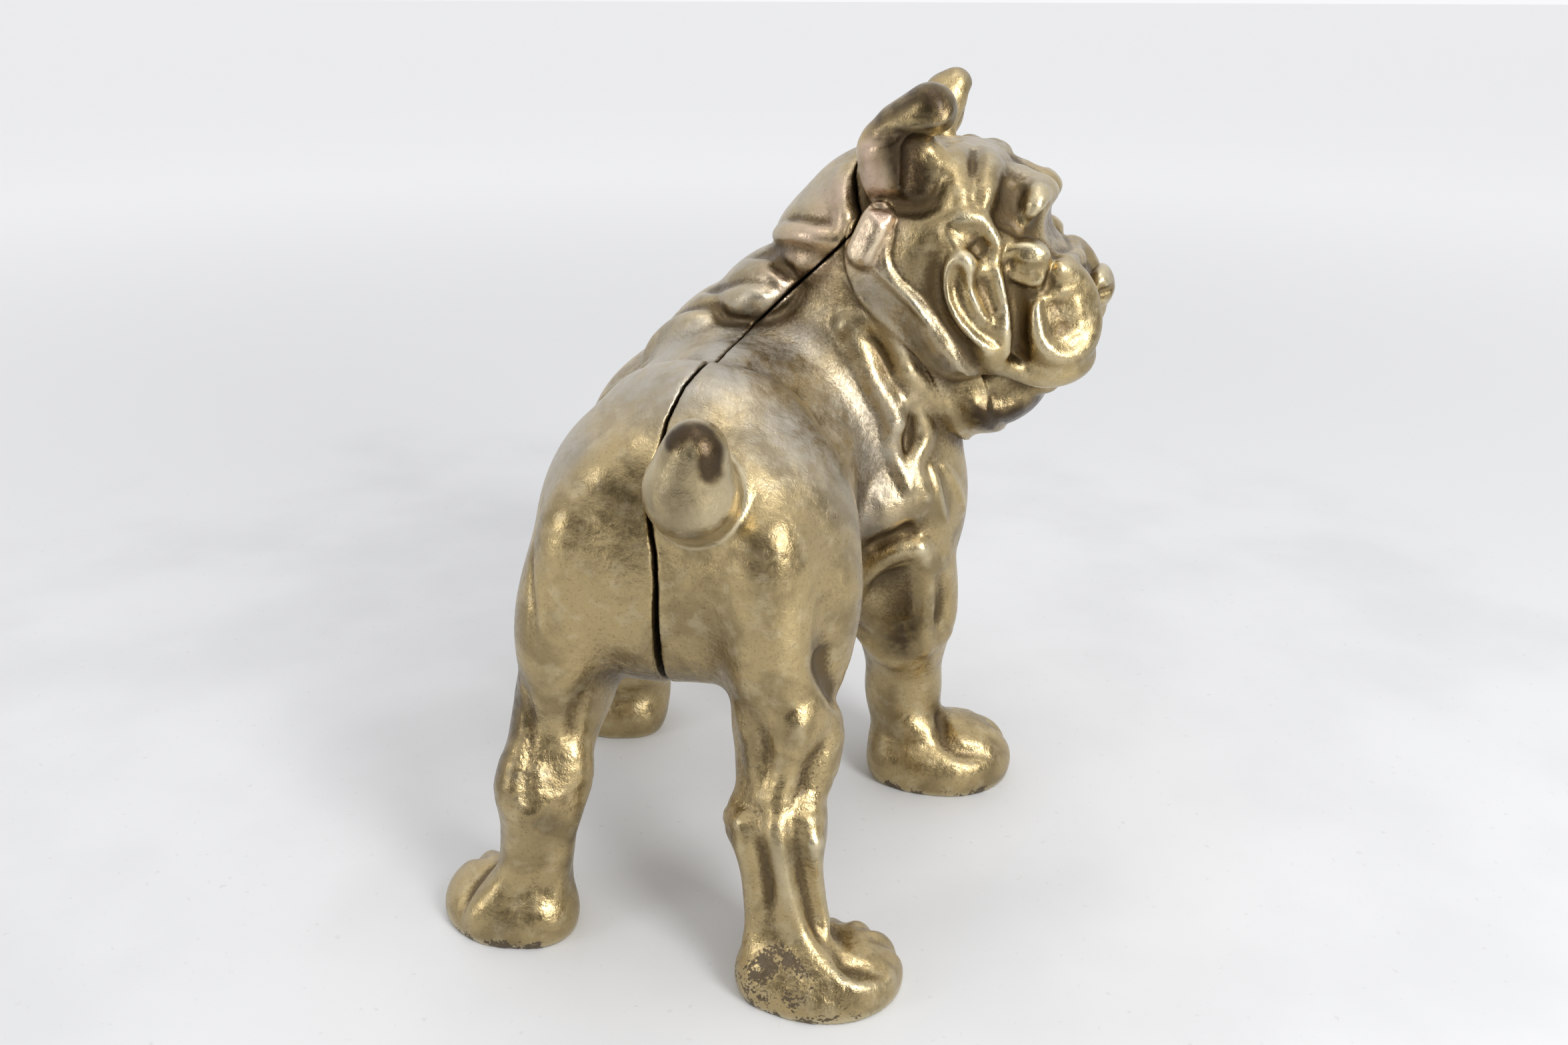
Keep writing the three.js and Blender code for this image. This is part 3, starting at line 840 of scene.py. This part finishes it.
# Painted shade, in brown, lies in the ears, round the brow, under the jaw, on the rump and down the
# legs; on the tail it also stands for dark wear.
PAINTED_SHADE_AND_TAIL_WEAR = [
    ([(-39, -64, 174), (-41, -66, 168), (-42, -64, 163)], 4.8, 1.4),
    ([(-34, -64, 176), (-40, -62, 178), (-46, -62, 178)], 2.6, 0.7),
    ([(-11, 13, 128), (-14, 12, 131), (-18, 12, 127), (-19, 13, 122)], 3.4, 1.4),
    ([(-63, -72, 164), (-63, -70, 158)], 5, 0.7),
    ([(-56, -70, 168), (-56, -66, 162)], 3, 0.5),
    ([(-70, -72, 155), (-74, -75, 153)], 3, 0.7),
    ([(-62, -68, 108), (-70, -76, 106), (-78, -88, 108)], 8, 1.6),
    ([(34, -2, 62), (34, 2, 50), (33, 6, 40)], 7, 0.75),
    ([(-33, -64, 182), (-40, -64, 186), (-47, -64, 184)], 7, 0.9),
    ([(-33, -116, 182), (-40, -116, 186), (-47, -116, 184)], 8, 0.8),
    ([(-12, 14, 106), (-8, 15, 114), (-15, 15, 118), (-12, 14, 124)], 9, 0.5),
    ([(26, 8, 62), (30, 8, 52), (20, 10, 40), (24, 14, 24)], 8, 0.4),
    ([(-40, -66, 104), (-48, -70, 102)], 5, 0.5),
    ([(-40, -62, 66), (-43, -66, 56), (-42, -72, 46)], 6, 0.9),
    ([(-48, -60, 146), (-53, -59, 134), (-60, -62, 122)], 3, 0.6),
    ([(4, -2, 96), (3, -2, 84), (2, -3, 74)], 8, 0.3),
    ([(-32, -66, 110), (-36, -58, 90), (-36, -50, 76)], 6, 0.6),
    ([(-22, 0, 60), (-24, 6, 44)], 5, 0.4),
    ([(13, -4, 65), (3, -6, 63), (-6, -6, 63), (-14, -4, 63)], 4, 0.6),
]
# The casting is pitted behind the legs, under the rump, on the flank and on the paws.
PITS = [
    ([(-36, -6, 62), (-36, -2, 53), (-35, 4, 46)], 4.5, 1),
    ([(-20, 2, 60), (-21, 4, 46), (-22, 8, 30), (-24, 12, 14)], 4, 0.7),
    ([(29, 1, 62), (28, 5, 50), (28, 9, 42), (29, 11, 33)], 4, 0.9),
    ([(14, -4, 66), (7, -3, 68), (2, -7, 64), (-8, -4, 66)], 4, 0.9),
    ([(30, -6, 104), (27, -5, 112), (22, -10, 118)], 6, 0.6),
    ([(-34, -14, 104), (-38, -20, 92), (-40, -20, 80)], 7, 0.6),
    ([(-30, 17, 8), (-44, 16, 8)], 8, 0.6),
    ([(-57, -80, 12), (-64, -82, 10)], 6, 0.6),
]


def painted(points, spots):
    """How strongly each point is marked by the spots: where they overlap, the stronger counts."""
    total = np.zeros(len(points), np.float32)
    for path, width, strength in spots:
        path = smooth_path(path, width / 2)
        reach = SPOT_REACH * width
        near = ((points > path.min(axis=0) - reach) & (points < path.max(axis=0) + reach)).all(axis=1)
        away2 = ((points[near, None, :] - path[None]) ** 2).sum(axis=2).min(axis=1)
        total[near] = np.maximum(total[near], strength * np.exp(-away2 / width**2))
    return total


def blurred(value, times):
    """The block's values averaged with their neighbours', again and again."""
    for _ in range(times):
        for axis in range(3):
            value = value.copy()
            middle = np.swapaxes(value, 0, axis)
            middle[1:-1] = (middle[:-2] + 2 * middle[1:-1] + middle[2:]) / 4
    return value


SKIN = 5.0  # only this near the surface do distances count towards its hollowness
NARROW_BLUR = 4
WIDE_BLUR = 14


def hollowness_at(clay, points):
    """How hollow the figure is at each point, over a small and a wider reach: negative on ridges."""
    coarse = Clay(clay.low, clay.low, 2 * clay.step)
    skin = np.clip(clay.value[::2, ::2, ::2], -SKIN, SKIN)
    coarse.value = blurred(skin, NARROW_BLUR)
    narrow = coarse.sample(points)
    coarse.value = blurred(coarse.value, WIDE_BLUR)
    return -narrow, narrow - coarse.sample(points)


def mark_finish_and_painted_light(piece, points, clay):
    """Gives the mesh the values that its material is mixed by."""
    recess, dip = hollowness_at(clay, points)
    spots = {"grey_wear_and_painted_sheen": GREY_WEAR_AND_PAINTED_SHEEN, "copper": COPPER, "stain": STAIN, "pits": PITS, "shade": PAINTED_SHADE_AND_TAIL_WEAR}
    marks = {name: painted(points, spots[name]) for name in spots}
    marks = {"recess": recess, "dip": dip, **marks}
    for name, values in marks.items():
        attribute = piece.data.attributes.new(name, "FLOAT", "POINT")
        attribute.data.foreach_set("value", values.astype(np.float32))


def sculpt_dog():
    """The whole outside of the dog, cut level at its soles."""
    clay = Clay()
    sculpt_body(clay)
    sculpt_head(clay)
    sculpt_ears(clay)
    draw_body(clay)
    draw_face(clay)
    floor = clay.coordinates()[2]
    clay.value = np.maximum(clay.value, -floor)
    return clay


def make_castings(material):
    """The dog hollowed, bored for its screws and parted, with the tail on the right casting."""
    outside = sculpt_dog()
    cavity = Clay()
    cavity.add_all([form.grown(-WALL) for form in [*TORSO, *NECK, *SKULL]], CAVITY_SOFTNESS)

    left_side = parting_distance(outside)
    gap = seam_half_gap(outside)
    bosses = rods(outside, BOSS_RADIUS, SCREW_TIP - BOSS_OVERRUN, SCREW_SEAT + BOSS_OVERRUN)
    bores = rods(outside, BORE_RADIUS, SCREW_TIP - BORE_OVERRUN, SCREW_SEAT + BORE_OVERRUN)
    seats = rods(outside, COUNTERBORE_RADIUS, SCREW_SEAT, SCREW_SEAT + COUNTERBORE_RUN)
    inside = np.minimum(-np.maximum(cavity.value, outside.value + THINNEST_WALL), bosses)
    shell = np.maximum(np.maximum(outside.value, inside), -np.minimum(bores, seats))

    tail = Clay()
    tail.add_all(TAIL, 0.6)
    right = Clay()
    right.value = blend_in(shell, left_side + gap, PARTED_EDGE)
    right.value = blend_out(right.value, np.maximum(tail.value, inside), TAIL_FILLET)
    left = Clay()
    left.value = blend_in(shell, gap - left_side, PARTED_EDGE)
    # The left casting also keeps its distance from the root of the tail.
    left.value = np.maximum(left.value, 2 * gap - right.value)

    pieces = []
    for name, clay in (("left_casting", left), ("right_casting", right)):
        points, quads = quads_of(clay)
        piece = mesh_object(name + "_sculpt", points, quads, material)
        mark_finish_and_painted_light(piece, points, outside)
        pieces.append(piece)
    return pieces


# ---- materials ----
class Graph:
    """Short ways to write the nodes of a material or of the room."""

    def __init__(self, owner, coordinates="Object"):
        owner.use_nodes = True
        self.owner = owner
        self.nodes = owner.node_tree.nodes
        self.links = owner.node_tree.links
        self.place = self.nodes.new("ShaderNodeTexCoord").outputs[coordinates]

    def put(self, value, socket):
        """Links another node's output to the socket, or sets a number, colour or vector."""
        if isinstance(value, bpy.types.NodeSocket):
            self.links.new(value, socket)
        else:
            socket.default_value = (*value, 1) if isinstance(value, tuple) else value

    def noise(self, scale, detail=3.0, stretch=None, distortion=0.0):
        place = self.place
        if stretch:
            mapping = self.nodes.new("ShaderNodeMapping")
            mapping.inputs["Scale"].default_value = stretch[0]
            mapping.inputs["Rotation"].default_value = stretch[1]
            self.links.new(place, mapping.inputs["Vector"])
            place = mapping.outputs["Vector"]
        node = self.nodes.new("ShaderNodeTexNoise")
        node.inputs["Scale"].default_value = scale
        node.inputs["Detail"].default_value = detail
        node.inputs["Distortion"].default_value = distortion
        self.links.new(place, node.inputs["Vector"])
        return node.outputs["Fac"]

    def specks(self, scale):
        """Distance from the nearest of many scattered points."""
        node = self.nodes.new("ShaderNodeTexVoronoi")
        node.inputs["Scale"].default_value = scale
        self.links.new(self.place, node.inputs["Vector"])
        return node.outputs["Distance"]

    def mark(self, name):
        """One of the values that mark_finish_and_painted_light gives the mesh."""
        node = self.nodes.new("ShaderNodeAttribute")
        node.attribute_name = name
        return node.outputs["Fac"]

    def operate(self, kind, operation, *values):
        node = self.nodes.new(kind)
        node.operation = operation
        for value, socket in zip(values, node.inputs):
            self.put(value, socket)
        return node.outputs["Value"]

    def times(self, a, b):
        return self.operate("ShaderNodeMath", "MULTIPLY", a, b)

    def less(self, a, b):
        return self.operate("ShaderNodeMath", "SUBTRACT", a, b)

    def plus(self, total, *others):
        for other in others:
            total = self.operate("ShaderNodeMath", "ADD", total, other)
        return total

    def length(self, vector):
        return self.operate("ShaderNodeVectorMath", "LENGTH", vector)

    def dot(self, a, b):
        return self.operate("ShaderNodeVectorMath", "DOT_PRODUCT", a, b)

    def ramp(self, value, low, high, out_low=0.0, out_high=1.0, style="SMOOTHSTEP"):
        """Carries the range from low to high over to the one from out_low to out_high."""
        node = self.nodes.new("ShaderNodeMapRange")
        node.interpolation_type = style
        self.put(value, node.inputs["Value"])
        limits = {"From Min": low, "From Max": high, "To Min": out_low, "To Max": out_high}
        for name, number in limits.items():
            node.inputs[name].default_value = number
        return node.outputs["Result"]

    def mix(self, share, a, b):
        node = self.nodes.new("ShaderNodeMix")
        node.data_type = "RGBA"
        colours = [socket for socket in node.inputs if socket.type == "RGBA"]
        self.put(share, node.inputs["Factor"])
        self.put(a, colours[0])
        self.put(b, colours[1])
        return [socket for socket in node.outputs if socket.type == "RGBA"][0]

    def layers(self, colour, *layers):
        """A colour under layers, each with its share and its own colour."""
        for share, layer in layers:
            colour = self.mix(share, colour, layer)
        return colour

    def bumps(self, *layers):
        """A normal roughened by layers, each with its height, strength and distance in metres."""
        normal = None
        for height, strength, distance in layers:
            node = self.nodes.new("ShaderNodeBump")
            node.inputs["Strength"].default_value = strength
            node.inputs["Distance"].default_value = distance
            self.links.new(height, node.inputs["Height"])
            if normal:
                self.links.new(normal, node.inputs["Normal"])
            normal = node.outputs["Normal"]
        return normal

    def shade(self, colour, rough, normal, metallic=0.0):
        """The finished material."""
        shader = self.nodes["Principled BSDF"].inputs
        self.put(colour, shader["Base Color"])
        self.put(rough, shader["Roughness"])
        self.put(normal, shader["Normal"])
        self.put(metallic, shader["Metallic"])
        return self.owner


GOLD = (0.44, 0.337, 0.17)
PALE_GOLD = (0.66, 0.58, 0.39)
# a dark brown for random specks, and for the patina and painted shade in the grooves
BROWN_GOLD = (0.10, 0.066, 0.028)
OLIVE_GOLD = (0.28, 0.212, 0.105)
# grey worn metal, which on the tops also stands for a painted reflection of the pale ceiling
PATINA_AND_PAINTED_SHEEN = (0.44, 0.41, 0.355)
COPPERY = (0.56, 0.42, 0.33)
TARNISH = (0.12, 0.09, 0.06)
# the brown of the painted shade, which on the tail is also dark wear
PAINTED_SHADE_AND_WEAR_BROWN = (0.05, 0.032, 0.016)
STEEL = (0.42, 0.40, 0.37)
DULL_STEEL = (0.27, 0.245, 0.21)
COAT = {"Coat Weight": 0.2, "Coat Roughness": 0.25}  # the lacquer left on the gilding


def gilt_iron():
    """Worn gold bronzing on sand-cast iron: mottled, brown in the grooves from patina and painted
    shade, grey on the back from wear and a painted reflection of the pale ceiling; painted shade also
    darkens the ears, jaw and legs.
    """
    graph = Graph(bpy.data.materials.new("gilt_iron"))
    cloud = graph.noise(70, 4, distortion=0.6)
    patch = graph.noise(260, 5)
    speckle = graph.noise(1500, 4)
    grain = graph.noise(2600, 3)
    scratches = graph.noise(60, 2, ((40, 5, 2), (0.3, 0.5, 0.9)))
    fine = graph.noise(620, 4)
    recess = graph.mark("recess")
    pits = graph.mark("pits")

    polished = graph.less(graph.ramp(recess, -0.3, -0.8, 0, 0.75), graph.mark("shade"))
    # grey wear, partly a painted reflection of the pale ceiling on the tops
    grey_wear_and_painted_sheen = graph.times(graph.mark("grey_wear_and_painted_sheen"), graph.ramp(patch, 0.3, 0.6, 0.6, 1))
    copper = graph.times(graph.mark("copper"), graph.ramp(patch, 0.3, 0.6, 0.5, 1))
    speckled = graph.ramp(speckle, 0.3, 0.7, -0.08, 0.08)
    # dark patina in creases and grooves, and painted shade there and in the broad hollows
    grime_and_painted_shade = graph.plus(graph.times(graph.mark("dip"), 0.3), recess, speckled)
    # painted shade in the ears, round the brow, under the jaw, on the rump and down the legs, and dark
    # wear on the tail
    shade = graph.times(graph.mark("shade"), graph.ramp(patch, 0.3, 0.65, 0.7, 1.05))
    worn = graph.times(graph.mark("stain"), graph.ramp(patch, 0.35, 0.6, 0.4, 1.3))
    worn = graph.plus(worn, graph.ramp(speckle, 0.3, 0.7, -0.2, 0.2))
    worn = graph.ramp(worn, 0.4, 0.55, 0, 0.9)
    pinholes = graph.plus(graph.specks(700), graph.ramp(pits, 0, 1, 0.14, 0))
    pinholes = graph.ramp(pinholes, 0.24, 0.14)
    colour = graph.layers(
        GOLD,
        (graph.ramp(cloud, 0.42, 0.62), OLIVE_GOLD),
        (graph.ramp(patch, 0.5, 0.7, 0, 0.25), PALE_GOLD),
        (graph.ramp(speckle, 0.56, 0.68, 0, 0.25), BROWN_GOLD),
        (polished, PALE_GOLD),
        # grey wear and painted reflection of the ceiling
        (grey_wear_and_painted_sheen, PATINA_AND_PAINTED_SHEEN),
        (copper, COPPERY),
        # patina and painted shade in the hollows
        (graph.ramp(grime_and_painted_shade, 0.0, 0.55, 0, 0.9), BROWN_GOLD),
        # painted shade
        (graph.ramp(shade, 0.1, 0.95, 0, 0.97), PAINTED_SHADE_AND_WEAR_BROWN),
        (worn, TARNISH),
        (graph.ramp(pinholes, 0, 1, 0, 0.6), TARNISH),
    )
    rough = graph.plus(
        graph.ramp(patch, 0.3, 0.7, 0.24, 0.35),
        graph.ramp(fine, 0.4, 0.65, 0, 0.12),
        graph.ramp(grime_and_painted_shade, 0.0, 0.8, 0, 0.16),
        graph.ramp(grey_wear_and_painted_sheen, 0, 1, 0, 0.08),
        graph.ramp(worn, 0, 1, 0, 0.3),
        graph.ramp(scratches, 0.5, 0.7, 0, 0.06),
    )
    casting = graph.times(graph.noise(420, 4), graph.ramp(pits, 0, 1, 0.5, 2.2))
    normal = graph.bumps(
        (casting, 0.6, 0.0006),
        (fine, 0.5, 0.00025),
        (grain, 0.45, 0.00012),
        (graph.ramp(pinholes, 0, 1, 1, 0), 0.8, 0.0003),
        (scratches, 0.06, 0.0001),
    )
    for name, number in COAT.items():
        graph.nodes["Principled BSDF"].inputs[name].default_value = number
    return graph.shade(colour, rough, normal, 1.0)


def screw_steel():
    """Old zinc-dulled steel: grey, with brown specks and turned rings."""
    graph = Graph(bpy.data.materials.new("screw_steel"))
    patch = graph.noise(420, 4)
    fine = graph.noise(1500, 3)
    turned = graph.noise(260, 2, ((20, 1, 1), (0, 0, 0)))
    colour = graph.layers(
        STEEL,
        (graph.ramp(patch, 0.4, 0.65), DULL_STEEL),
        (graph.ramp(fine, 0.55, 0.68, 0, 0.7), TARNISH),
    )
    rough = graph.plus(graph.ramp(patch, 0.3, 0.7, 0.3, 0.46), graph.ramp(fine, 0.5, 0.7, 0, 0.15))
    normal = graph.bumps((turned, 0.3, 0.0001), (fine, 0.4, 0.0001))
    return graph.shade(colour, rough, normal, 1.0)


BOARD = (0.61, 0.615, 0.62)
DUSTY_BOARD = (0.565, 0.57, 0.575)
# the board far from the dog, painted brighter as painted light
FAR_BOARD_PAINTED_LIGHT = (0.85, 0.855, 0.86)
BOARD_SPECK = (0.444, 0.437, 0.422)


def pale_floor():
    """A white painted board, faintly dusty and scuffed near the dog; its colour is graded from darker
    near the dog to brighter far from it, as painted shade and light.
    """
    graph = Graph(bpy.data.materials.new("pale_floor"))
    away = graph.length(graph.place)
    near = graph.ramp(away, 0.25, 0.6, 1, 0)
    dust = graph.times(graph.noise(14, 5), near)
    specks = graph.times(graph.ramp(graph.noise(420, 3), 0.66, 0.74, 0, 0.35), near)
    colour = graph.layers(
        BOARD,
        (graph.ramp(dust, 0.35, 0.7), DUSTY_BOARD),
        # painted light: brighter far from the dog, so darker near it as painted shade
        (graph.ramp(away, 0.3, 1.4), FAR_BOARD_PAINTED_LIGHT),
        (specks, BOARD_SPECK),
    )
    rough = graph.ramp(dust, 0.3, 0.7, 0.55, 0.7)
    normal = graph.bumps((graph.times(graph.noise(500, 3), near), 0.1, 0.0001))
    return graph.shade(colour, rough, normal)


# ---- the stage ----
CAMERA_PLACE = (-94.2, 239.2, 208.0)  # in the dog's own frame
CAMERA_TURN = math.radians(15.2)  # from the -y axis towards +x
CAMERA_TILT = math.radians(22.1)  # downwards
CAMERA_LENS = 30.6  # in millimetres, for a sensor 36 mm wide
CAMERA_RIGHT = Vector((-0.965, -0.262, 0))  # this and the next are level
CAMERA_BACK = Vector((-0.262, 0.965, 0))
FLOOR_HALF = 15.0  # in metres
AIM = Vector((0, 0, 0.09))  # where the windows face

# Each window's direction from the dog, to the right, back and up as seen from the camera; its
# distance, width and height in metres; and its radiance.
WINDOWS = {
    "right_window": (0.57, 0.66, 0.44, 0.9, 0.26, 0.56, 14.0),
    "left_window": (-0.86, 0.45, 0.3, 0.9, 0.24, 0.5, 4.0),
    "top_window": (0.1, 0.1, 1.0, 1.1, 0.4, 0.4, 2.6),
}
# The room's colour from behind the camera to beyond the dog, and overhead.
ROOM = {
    0: (0.07, 0.06, 0.05),
    0.25: (0.12, 0.11, 0.095),
    0.5: (0.55, 0.55, 0.55),
    0.7: (0.95, 0.95, 0.955),
    1: (0.95, 0.95, 0.965),
}
CEILING = (1.15, 1.15, 1.17)


def point(thing, direction):
    thing.rotation_euler = direction.to_track_quat("-Z", "Y").to_euler()


def add_camera():
    """A camera behind the dog and to its right, looking down over its back at its face."""
    level = math.cos(CAMERA_TILT)
    looking = (math.sin(CAMERA_TURN) * level, -math.cos(CAMERA_TURN) * level, -math.sin(CAMERA_TILT))
    data = bpy.data.cameras.new("camera")
    data.sensor_width = 36
    data.lens = CAMERA_LENS
    camera = add_object("camera", data)
    camera.location = place(CAMERA_PLACE)
    point(camera, Vector(looking))
    bpy.context.scene.camera = camera


def add_floor():
    mesh = bpy.data.meshes.new("floor")
    corners = [(x * FLOOR_HALF, y * FLOOR_HALF, 0) for x, y in ((-1, -1), (1, -1), (1, 1), (-1, 1))]
    mesh.from_pydata(corners, [], [(0, 1, 2, 3)])
    mesh.materials.append(pale_floor())
    floor = add_object("floor", mesh)


def add_window(name, right, back, up, distance, width, height, radiance):
    """A soft rectangular light, placed as seen from the camera and aimed at the dog."""
    towards = CAMERA_RIGHT * right + CAMERA_BACK * back + Vector((0, 0, up))
    data = bpy.data.lights.new(name, "AREA")
    data.shape = "RECTANGLE"
    data.size = width
    data.size_y = height
    data.energy = radiance * math.pi * width * height
    light = add_object(name, data)
    light.location = AIM + towards.normalized() * distance
    point(light, AIM - light.location)


def add_room():
    """The room: bright beyond the dog, dim and warm behind the camera."""
    graph = Graph(bpy.data.worlds.new("room"), "Generated")
    ahead = graph.ramp(graph.dot(graph.place, -CAMERA_BACK), -1, 1, style="LINEAR")
    above = graph.ramp(graph.dot(graph.place, Vector((0, 0, 1))), 0.2, 0.9, style="LINEAR")
    shades = graph.nodes.new("ShaderNodeValToRGB")
    graph.put(ahead, shades.inputs["Fac"])
    stops = shades.color_ramp.elements
    for position in list(ROOM)[1:-1]:
        stops.new(position)
    for stop, colour in zip(stops, ROOM.values()):
        stop.color = (*colour, 1)
    colour = graph.mix(above, shades.outputs["Color"], CEILING)
    graph.put(colour, graph.nodes["Background"].inputs["Color"])
    bpy.context.scene.world = graph.owner


# ---- the scene ----
add_camera()
add_floor()
add_room()
for window, measures in WINDOWS.items():
    add_window(window, *measures)
bpy.context.scene.view_settings.view_transform = "Standard"

castings = make_castings(gilt_iron())
for piece, node in zip(castings, ("left_casting", "right_casting")):
    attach(piece, "root")
    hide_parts(node)
steel = screw_steel()
for node in SCREWS:
    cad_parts[node].material_slots[0].material = steel
